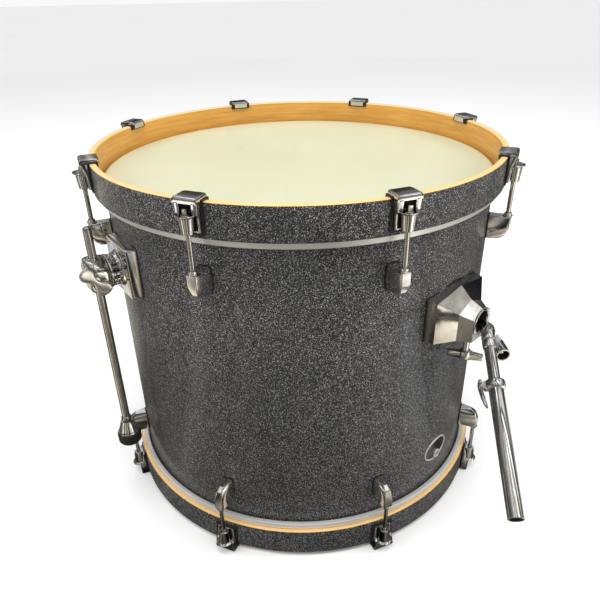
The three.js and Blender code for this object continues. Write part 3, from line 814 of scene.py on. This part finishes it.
def wing(y, hub, hub_length, up, down, width, thick, lift):
    """A wing bolt on a hub whose inner face is at y. Its rounded lobes reach up and down from the hub
    along Z, and their tips lie lift further out than their roots."""
    shape = Shape()
    profile = [(0, y), (hub, y, 0.8), (hub * 0.9, y - hub_length, 2.0), (0, y - hub_length - 0.6)]
    shape.add(turned(rounded(profile, 0.6, 4, closed=False), 40, "Y", closed=False))
    rows, steps = [], 36
    for k in range(steps + 1):
        s = -1 + 2 * k / steps
        tip = sqrt(max(0.0, 1 - abs(s) ** 6))
        spread = 0.5 - 0.5 * cos(pi * min(1.0, abs(s) / 0.62))
        half = width / 2 * (0.40 + 0.60 * spread) * (0.10 + 0.90 * tip)
        deep = thick / 2 * (1.30 - 0.42 * abs(s)) * (0.2 + 0.8 * tip)
        span = up if s > 0 else down
        middle = y - hub_length * 0.62 - lift * (abs(s) * span / max(up, down)) ** 1.5
        turn = 0.22 * s
        rows.append([(a * cos(turn) - b * sin(turn), middle + a * sin(turn) + b * cos(turn), s * span)
                     for a, b in oval(half, deep, 2.8, 32)])
    shape.add(skin_of(rows))
    return shape


spur_wing = wing(-22.4, 8.0, 7.0, 23.5, 23.5, 21.0, 6.6, 3.0).make("spur_wing_left", [SATIN], smooth=60)

for side, angle in SPURS.items():
    first = side == "left"
    place = at(angle, PIVOT)
    body = f"{side}_spur_"
    way = 1 if first else -1
    turn = Matrix.Rotation(radians(90 * way), 4, "Z") @ Matrix.Rotation(radians(-SCREW_LEAN * way), 4, "Y")
    screw_place = place @ Matrix.Translation((0, -SCREW_REACH * MM, SCREW_RISE * MM)) @ turn
    for piece, on, where, nodes, slot in (
            (bracket, "drum", place, [body + "bracket"], "chrome"),
            (bracket_pad, "drum", place, [], "rubber"),
            (swivel, body + "swivel", place, [body + "swivel"], "chrome"),
            (leg, body + "leg", place, [body + "leg"], "steel"),
            (bell, body + "foot", place, [], "chrome"),
            (cup, body + "foot", place, [body + "foot"], "rubber"),
            (spur_wing, body + "wing_nut", screw_place, [body + "wing_nut"], "chrome"),
            (clamp, body + "swivel", place, [], "chrome"),
            (rod_collars, body + "swivel", place, [], "chrome")):
        piece = piece if first else again(piece, piece.name.replace("left", "right"))
        put(piece, on, where, *nodes, slot=slot)

# Holder base: a faceted casting with a round mouth, and a bore behind it for the arm.
B_LOW, MOUTH_Z, ARM_Z = 327.0, 352.5, 349.0
BASE_FLAT = 281.0  # slices nearer the axis than this follow the shell


def base_section(y, half, shoulder, ridge, rise=0.0):
    """A slice of the casting: half its width, the heights of its shoulders and ridge, and its floor."""
    loop = [(-half, B_LOW + rise), (half, B_LOW + rise), (half, shoulder), (0, ridge), (-half, shoulder)]
    return [(x, -sqrt(max(y * y - x * x, 1.0)) if y < BASE_FLAT else -y, z) for x, z in loop]


base_shape = Shape().add(skin_of([
    base_section(277.8, 53, 386, 394.5), base_section(280.2, 53, 386, 394), base_section(286.8, 52, 384.5,
            391.5, 0.6),
    base_section(302.8, 26.4, 366, 377, 1.2), base_section(319.8, 17.6, 359.6, 370.2, 1.6)]))
base = base_shape.make("holder_casting", [CAST, RING], bevel=1.9, segments=2, sharp=9)
base.modifiers[0].material = 1
carve(base,
      turned([(0, -330), (15.4, -330), (15.4, -304), (0, -304)], 56, "Y", (0, MOUTH_Z), closed=False),
      turned([(0, -330), (6.5, -330), (6.5, -288), (0, -288)], 32, "Y", (0, ARM_Z), closed=False))
put(base, "drum", at(HOLDER), "holder_base", slot="chrome")
mouth_profile = rounded([
    (14.0, -305.0), (15.2, -305.0), (15.2, -318.6), (18.6, -319.2, 0.8), (19.4, -321.0, 0.8),
    (18.2, -321.9, 0.8), (15.0, -321.4, 1.0), (14.0, -319.2, 0.8),
], 0.5, 4)


def mouth_slot(m):
    """The bright rim, and the dull bore inside it, near-black as painted shade."""
    return 1 if hypot(m.x, m.z - MOUTH_Z) < 14.2 and m.y > -318.6 else 0


mouth = Shape().add(turned(mouth_profile, 64, "Y", (0, MOUTH_Z)), mouth_slot)
# A near-black disc at the back of the mouth round the stub: painted shade.
mouth.add(turned([(6.7, -304.2), (15.2, -304.2), (15.2, -305.2), (6.7, -305.2)], 64, "Y", (0, MOUTH_Z)), 1)
put(mouth.make("holder_mouth", [BRIGHT, DULL_BLACK_AND_SHADE], smooth=45), "drum", at(HOLDER), slot="chrome")
gasket_loop = rounded([(-54.4, B_LOW - 1.2), (54.4, B_LOW - 1.2), (54.4, 387), (0, 396.4), (-54.4, 387)],
                      1.5)
gasket_rows = [[(x, -sqrt((SHELL_R + lift) ** 2 - x * x), z) for x, z in gasket_loop]
               for lift in (-0.2, 1.2)]
gasket = Shape().add(skin_of(gasket_rows))
put(gasket.make("holder_gasket", [RUBBER]), "drum", at(HOLDER), slot="rubber")

# Clamp bolt under the base: a stem and a waisted bar.
bolt_shape = Shape()
stem_profile = rounded([
    (0, 290.5), (6.6, 290.5, 1.5), (8.2, 296, 2), (7.4, 302.6, 1.2), (4.0, 303.0, 0.3),
    (3.9, 342.4, 0.4), (0, 342.4),
], 0.6, 4, closed=False)
bolt_shape.add(turned(stem_profile, 36, closed=False))
bar_rows = []
bar_half = [(23, 2.2, 3.9, 295.0), (22.4, 2.6, 4.5, 295.0), (9, 3.7, 4.9, 295.3), (5, 5.4, 5.4, 295.4)]
other_half = [(-x, *rest) for x, *rest in bar_half]
for x, thick, tall, middle in other_half + [(0, 6.2, 5.6, 295.4)] + bar_half[::-1]:
    outline = rounded([(-thick, -tall), (thick, -tall), (thick, tall), (-thick, tall)], 0.9)
    bar_rows.append([(x, a, middle + b) for a, b in outline])
bolt_shape.add(skin_of(bar_rows))
bolt = bolt_shape.make("holder_bolt", [CHROME], smooth=38)
bolt_place = at(HOLDER) @ Matrix.Translation((0, -304 * MM, 0)) @ Matrix.Rotation(radians(-65), 4, "Z")
put(bolt, "holder_clamp_bolt", bolt_place, "holder_clamp_bolt", slot="chrome")

# Arm: a stub in the mouth, a rounded elbow, and the inner tube; and a short open socket beside it.
KNUCKLE, TUBE_END = Vector((-9, -333.5, 348)), Vector((-162.5, -466, 252))
WAY = (TUBE_END - KNUCKLE).normalized()
LENGTH = (TUBE_END - KNUCKLE).length
bend = [(0, -289, ARM_Z), (0, -300, ARM_Z), (0, -316, ARM_Z), (-0.8, -323, ARM_Z + 0.2),
        (-2.4, -328.5, ARM_Z + 0.2), (-4.6, -332, ARM_Z), (-8, -334.6, ARM_Z - 1), KNUCKLE + WAY * 8]
arm_shape = Shape().add(sweep(bend, [6, 6, 6, 6.2, 6.9, 7.8, 8.2, 7.4], 36))
for steps, radii in (
        ((-8.0, -7.4, -5.4, -2, 3, 9, 13.4, 14.2, 14.4), (1.2, 4.0, 6.6, 8.2, 8.5, 8.3, 8.1, 7.4, 6.8)),
        ((14.6, 15.2, 24, 25, 25.6), (6.9, 8.2, 8.0, 7.4, 6.9)),
        ((12, 60, 120, 148.8, 150), (6.8, 6.8, 6.8, 6.8, 6.2))):
    arm_shape.add(sweep([KNUCKLE + WAY * step for step in steps], radii, 40))
arm = arm_shape.make("holder_tube", [BRIGHT], smooth=50)
put(arm, "holder_arm", at(HOLDER), "holder_arm", slot="chrome")
SOCKET_BACK, SOCKET_FRONT = Vector((0, -343, 331)), Vector((-15, -361.5, 328))


def frame_along(start, way):
    """A frame at start whose Z points along way."""
    return Matrix.Translation(start * MM) @ Vector((0, 0, 1)).rotation_difference(way).to_matrix().to_4x4()


socket_frame = frame_along(SOCKET_BACK, (SOCKET_FRONT - SOCKET_BACK).normalized())
reach = (SOCKET_FRONT - SOCKET_BACK).length
socket_profile = rounded([
    (0, 0), (6.6, 0, 1.0), (8.8, 1.8, 1.2), (9.0, reach - 3, 0.4), (9.3, reach - 1.6, 0.4),
    (9.1, reach, 0.4), (7.2, reach, 0.4), (7.0, reach - 1.5, 0.3), (7.0, 8.5, 0.5), (0, 8.5),
], 0.4, closed=False)
# The socket's inside is near-black dull metal: painted shade.
socket = Shape().add(turned(socket_profile, 56, closed=False),
                     lambda m: int(hypot(m.x, m.y) < 7.15 and m.z > 5))
pin_profile = rounded([(0, 8.6), (2.6, 8.6), (2.6, reach - 5, 0.8), (0, reach - 4.6)], 0.4, closed=False)
socket.add(turned(pin_profile, 24, closed=False), 0)
put(socket.make("holder_socket", [CHROME, DULL_BLACK_AND_SHADE], smooth=45), "holder_arm", at(HOLDER) @ socket_frame,
    slot="chrome")
neck_path = [KNUCKLE + (SOCKET_BACK - KNUCKLE) * t for t in (0.0, 0.3, 0.6, 0.85, 1.1)]
neck = Shape().add(sweep(neck_path, [4.6, 4.4, 4.2, 4.6, 5.0], 28))
put(neck.make("holder_neck", [CHROME], smooth=50), "holder_arm", at(HOLDER), slot="chrome")
tab = Shape().add(column(rounded([(4.5, 5.5), (12.6, 5.5, 1.5), (12.6, 9.0, 1.5), (4.5, 9.0)], 0.5), 0.5,
                         9.0))
tab_place = at(HOLDER) @ socket_frame @ Matrix.Rotation(radians(20), 4, "Z")
put(tab.make("holder_tab", [TAB], bevel=0.5), "holder_arm", tab_place, slot="rubber")

# Sleeve: a thin open tube and the ring that clamps it, with a lever screw in the ring's ear.
LEVER_TURN = -122.6  # the lever's side of the tube
tube_frame = frame_along(KNUCKLE, WAY) @ Matrix.Rotation(radians(LEVER_TURN), 4, "Z")
S0 = 68.0  # from the knuckle to the ring
sleeve_profile = rounded([(7.25, S0 + 4), (8.5, S0 + 4, 0.4), (8.5, LENGTH - 0.2, 0.5),
                          (7.25, LENGTH - 0.2, 0.4)], 0.3)
# The sleeve's inside is near-black dull metal: painted shade.
sleeve_shape = Shape().add(turned(sleeve_profile, 56),
                           lambda m: int(hypot(m.x, m.y) < 7.3 and m.z > S0 + 20))
ring_profile = rounded([
    (6.95, S0 + 1.0), (9.6, S0 + 0.2, 1.2), (11.4, S0 + 2.4, 2.2), (11.5, S0 + 8.6, 2.4),
    (10.0, S0 + 11.6, 1.6), (8.3, S0 + 12),
], 0.8, 5)
sleeve_shape.add(turned(ring_profile, 56), 0)
ear_outline = rounded([(-8.2, S0 + 1.2), (-13.9, S0 + 1.6, 3), (-13.9, S0 + 10.6, 3), (-8.2, S0 + 11)],
                      1.0, 5)
for x in (-4.9, 1.1):
    sleeve_shape.add(prism(ear_outline, x, x + 3.8), 0)
sleeve = sleeve_shape.make("holder_sleeve_tube", [BRIGHT, DULL_BLACK_AND_SHADE], smooth=40)
put(sleeve, "holder_sleeve", at(HOLDER) @ tube_frame, "holder_sleeve", slot="chrome")
screw = wing(-14.4, 5.2, 4.4, 28.0, 9.0, 8.6, 4.6, -4.6)
screw = screw.make("holder_sleeve_wing", [CHROME], smooth=60)
screw_place = at(HOLDER) @ tube_frame @ Matrix.Translation((0, 0, (S0 + 6) * MM))
put(screw, "holder_sleeve_screw", screw_place, "holder_sleeve_screw", slot="chrome")

# Floor, lights and camera.
FLOOR = 30  # half the floor's width, in metres
floor_mesh = bpy.data.meshes.new("floor")
floor_mesh.from_pydata([(-FLOOR, -FLOOR, 0), (FLOOR, -FLOOR, 0), (FLOOR, FLOOR, 0), (-FLOOR, FLOOR, 0)],
                       [], [(0, 1, 2, 3)])
floor_mesh.materials.append(pale_floor())
floor = bpy.data.objects.new("floor", floor_mesh)
floor.visible_glossy = floor.visible_diffuse = False
bpy.context.scene.collection.objects.link(floor)


def room_light():
    """A painted reflection for chrome, glowing though it is no lamp: a brown floor, dark walls with lit
    patches, and a pale ceiling.
    """
    f = Finish("reflected_room", "ShaderNodeEmission")
    across = f.vector("MULTIPLY", f.place, (1.0, 1.0, 0.0))
    facing = f.vector("NORMALIZE", across)
    height = f.node("ShaderNodeSeparateXYZ", {0: f.place}).outputs[2]
    level = f.between(height, 0.0, 1.0, -0.1, 4.9)
    tone = f.ramp(
        level, (0.0, (0.60, 0.555, 0.455)), (0.03, (0.26, 0.24, 0.20)), (0.10, (0.05, 0.05, 0.052)),
        (0.30, (0.07, 0.07, 0.072)), (0.50, (0.17, 0.165, 0.155)), (0.72, (0.27, 0.265, 0.25)), (1.0,
                (0.50, 0.50, 0.49)))
    low_down = f.between(height, 1.0, 0.0, 0.2, 1.4)
    streaks = f.noise(3.2, 2.0, facing, 0.7)
    soft = f.ramp(streaks, (0.34, 0.1), (0.45, 0.6), (0.52, 1.1), (0.57, 2.8), (0.63, 6.0))
    hard = f.ramp(streaks, (0.38, 0.04), (0.46, 0.3), (0.51, 1.1), (0.56, 1.9), (0.62, 2.8))
    tone = f.mix(1.0, tone, f.mix(low_down, soft, hard), "MULTIPLY")
    lit = f.ramp(f.noise(1.7, 1.5), (0.36, 0.45), (0.46, 0.85), (0.56, 1.1), (0.64, 1.5))
    elsewhere = f.vector("ADD", f.place, (3.0, 1.0, 0.0))
    blue = f.ramp(f.noise(0.9, 1.0, elsewhere), (0.52, 0.0), (0.58, 0.7))
    tone = f.mix(1.0, tone, lit, "MULTIPLY")
    tone = f.mix(blue, tone, f.mix(1.0, tone, (0.62, 0.72, 1.0), "MULTIPLY"))
    # Painted shadow: the reflected floor darkens towards the drum.
    distance = f.vector("LENGTH", across, output="Value")
    painted_drum_shadow = f.ramp(f.between(distance, 0.0, 1.0, 0.3, 0.7), (0.0, 0.05), (0.4, 0.4), (1.0, 1.0))
    tone = f.mix(1.0, tone, painted_drum_shadow, "MULTIPLY")
    # Painted highlights: bright bands round the room that give the shell its sheen and the chrome its
    # glints.
    painted_highlight_bands = (((0.85, -0.527, 0.0), 0.93, 2.2), ((-0.80, -0.60, 0.0), 0.975, 1.6),
               ((0.2, 0.98, 0.0), 0.95, 2.0))
    for way, edge, strength in painted_highlight_bands:
        band = f.vector("DOT_PRODUCT", facing, way, "Value")
        band = f.between(f.between(band, 0.0, 1.0, edge, 1.0), 1.0, 1.0 + strength)
        gain = f.node("ShaderNodeCombineXYZ", {0: band, 1: band, 2: band}).outputs[0]
        lifted = f.mix(1.0, tone, gain, "MULTIPLY")
        tone = f.mix(low_down, tone, lifted)
    f.set(Color=tone, Strength=1.0)
    f.material.cycles.emission_sampling = "NONE"
    return f.material


# The room is seen only in reflections. The camera and soft light see the plain floor and the white studio.
room_profile = [(0, -6), (600, -6), (2500, -6), (6000, -6), (6000, 1500), (5400, 3200), (4000, 4600),
                (0, 4900)]
room = turning("room", room_light(), room_profile, 64, closed=False)
room.location = AXIS
for ray in ("camera", "diffuse", "transmission", "volume_scatter", "shadow"):
    setattr(room, "visible_" + ray, False)

world = bpy.data.worlds.new("studio")
bpy.context.scene.world = world
world.use_nodes = True
sky = world.node_tree
toward = sky.nodes.new("ShaderNodeSeparateXYZ")
sky.links.new(sky.nodes.new("ShaderNodeTexCoord").outputs["Generated"], toward.inputs[0])
below = sky.nodes.new("ShaderNodeMapRange")
below.inputs["From Min"].default_value, below.inputs["From Max"].default_value = -0.40, -0.14
sky.links.new(toward.outputs[2], below.inputs["Value"])
shade = sky.nodes.new("ShaderNodeValToRGB")
sky.links.new(below.outputs[0], shade.inputs[0])
shade.color_ramp.elements[0].color = (0.06, 0.057, 0.05, 1)
shade.color_ramp.elements[1].color = (1.0, 1.0, 1.0, 1)
sky.links.new(shade.outputs[0], sky.nodes["Background"].inputs["Color"])
sky.nodes["Background"].inputs["Strength"].default_value = 0.95


def softbox(name, position, target, size, power):
    light = bpy.data.lights.new(name, "AREA")
    light.shape = "RECTANGLE"
    light.size, light.size_y = size
    light.energy = power
    lamp = bpy.data.objects.new(name, light)
    lamp.location = AXIS + Vector(position)
    lamp.visible_glossy = False
    lamp.rotation_euler = (Vector(target) - Vector(position)).to_track_quat("-Z", "Y").to_euler()
    bpy.context.scene.collection.objects.link(lamp)


softbox("overhead", (0.0, -0.6, 2.8), (0, 0, 0.3), (1.6, 1.2), 34)
softbox("left_box", (-2.2, -0.9, 1.9), (0, 0, 0.3), (0.8, 1.2), 22)
softbox("right_box", (2.3, -0.2, 1.9), (0, 0, 0.3), (0.5, 1.4), 26)
softbox("back_strip", (-0.6, 2.6, 2.6), (0, 0, 0.4), (1.8, 0.25), 10)

# The camera stands in front of the drum's axis, turned a little round it.
LENS, SENSOR = 34.45, 36.0
EYE = Vector((-0.00224, -0.84121, 0.72592))
HEADING = Matrix.Rotation(radians(0.68), 3, "Z")
LOOK_DOWN, ROLL = 0.504, -0.0208
camera_data = bpy.data.cameras.new("camera")
camera_data.sensor_width, camera_data.lens, camera_data.clip_end = SENSOR, LENS, 100
camera = bpy.data.objects.new("camera", camera_data)
camera.location = HEADING @ EYE + AXIS
tilt = Matrix.Rotation(pi / 2 - LOOK_DOWN, 3, "X") @ Matrix.Rotation(ROLL, 3, "Z")
camera.rotation_euler = (HEADING @ tilt).to_euler()
bpy.context.scene.collection.objects.link(camera)
bpy.context.scene.camera = camera
bpy.context.scene.view_settings.view_transform = "Standard"
